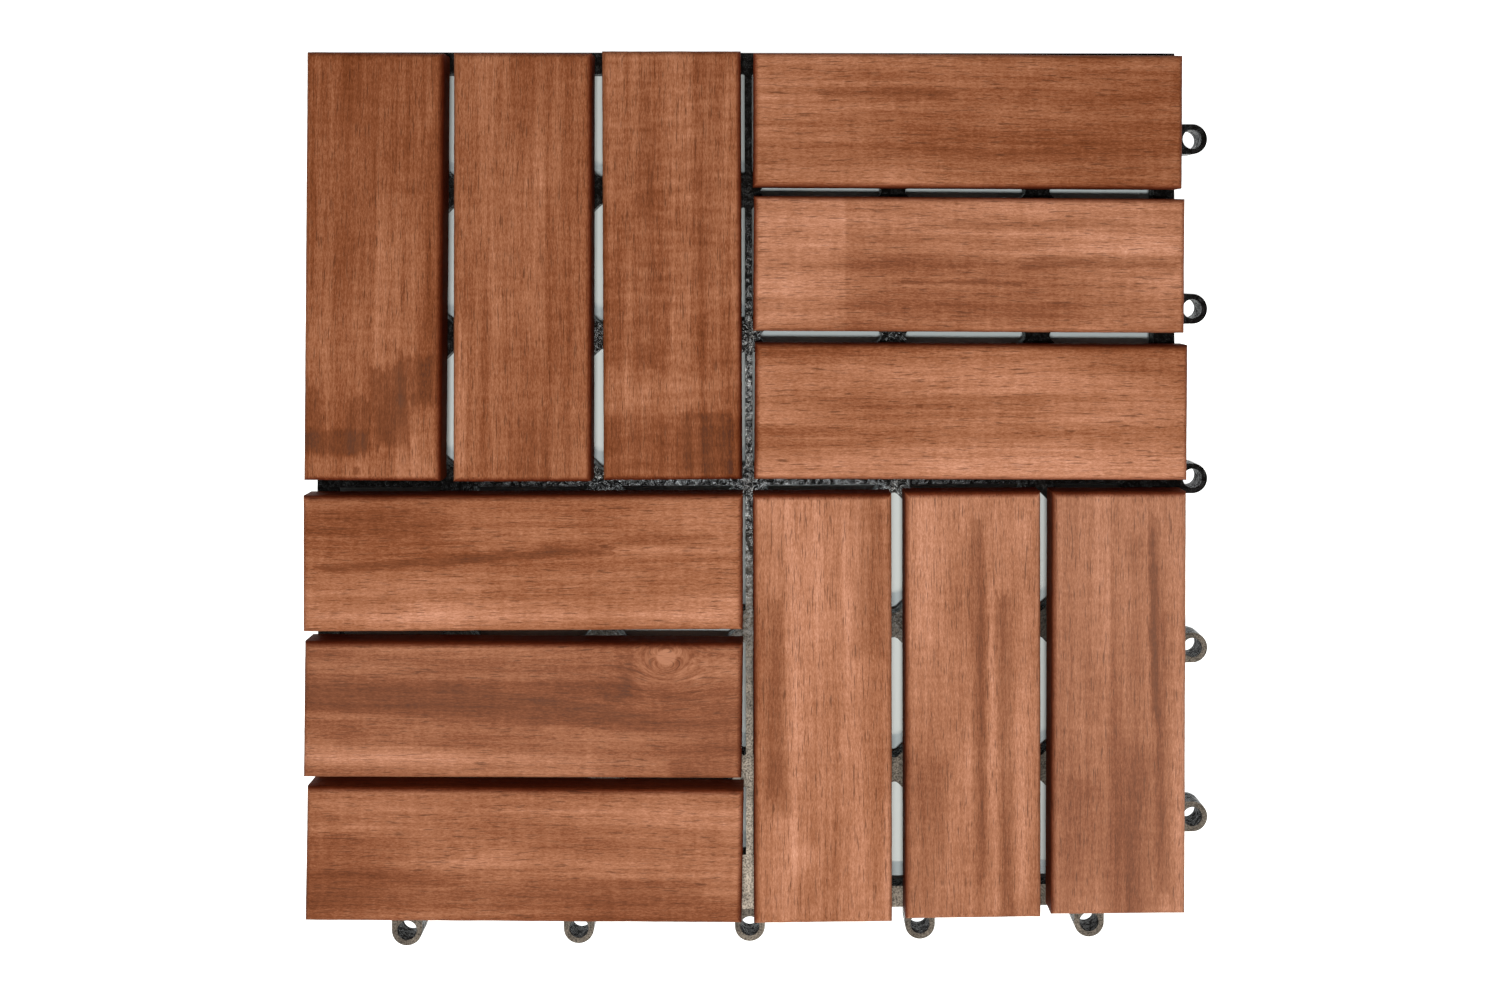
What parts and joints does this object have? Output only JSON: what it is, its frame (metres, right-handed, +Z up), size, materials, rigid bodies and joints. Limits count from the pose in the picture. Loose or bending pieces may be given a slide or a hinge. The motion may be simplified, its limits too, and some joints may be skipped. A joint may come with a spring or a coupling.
{
  "type": "interlocking deck tile",
  "caption": "Square outdoor floor tile: hardwood slats in a parquet pattern, screwed to a moulded lattice base with edge loops and hidden pegs that lock it to the next tile.",
  "frame": {"origin": "on the ground under the middle of the base, at the foot of the middle post", "axes": "+Z up through the slats, +X towards the edge with the right loops, -Y towards the edge with the front loops"},
  "size_m": [0.3134, 0.3122, 0.024],
  "materials": {
    "black_plastic": "black moulded polyethylene, slightly glossy, scuffed and dusty where the gaps leave it open",
    "hardwood": "oiled reddish-brown hardwood, satin, fine grain along each slat",
    "screw_steel": "zinc-plated steel"
  },
  "bodies": {
    "root": {"base_grid": "black_plastic", "slat_back_left_1": "hardwood", "slat_back_left_2": "hardwood", "slat_back_left_3": "hardwood", "slat_back_right_1": "hardwood", "slat_back_right_2": "hardwood", "slat_back_right_3": "hardwood", "slat_front_left_1": "hardwood", "slat_front_left_2": "hardwood", "slat_front_left_3": "hardwood", "slat_front_right_1": "hardwood", "slat_front_right_2": "hardwood", "slat_front_right_3": "hardwood", "screws": "screw_steel"}
  },
  "joints": []
}
